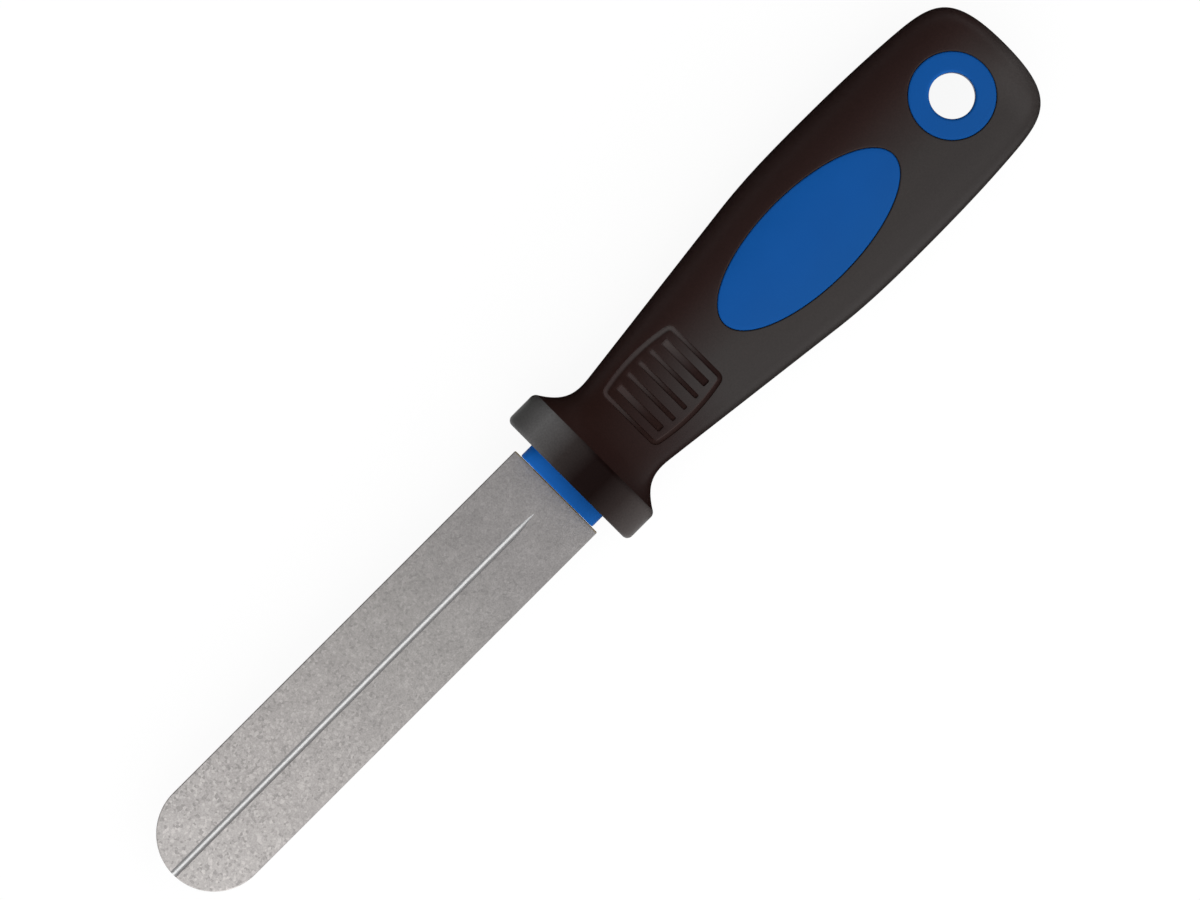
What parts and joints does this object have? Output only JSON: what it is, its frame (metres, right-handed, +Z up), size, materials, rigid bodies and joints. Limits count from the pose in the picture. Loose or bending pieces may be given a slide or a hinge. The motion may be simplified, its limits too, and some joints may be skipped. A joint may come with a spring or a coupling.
{
  "type": "diamond hook file",
  "caption": "Hand file with a flat round-tipped diamond-grit steel plate, a groove for hook points, and a two-colour moulded handle with a guard and a hang hole.",
  "frame": {"origin": "middle of the tool's length and width, on the surface that it lies on", "axes": "+X runs along the tool from the tip of the plate to the end of the handle, +Z is up, out of the grooved face"},
  "size_m": [0.2204, 0.0334, 0.024],
  "materials": {
    "diamond_steel": "matte",
    "blue_plastic": "satin",
    "black_rubber": "matte"
  },
  "bodies": {
    "root": {"file_blade": "diamond_steel", "handle_core": "blue_plastic", "soft_grip": "black_rubber"}
  },
  "joints": []
}
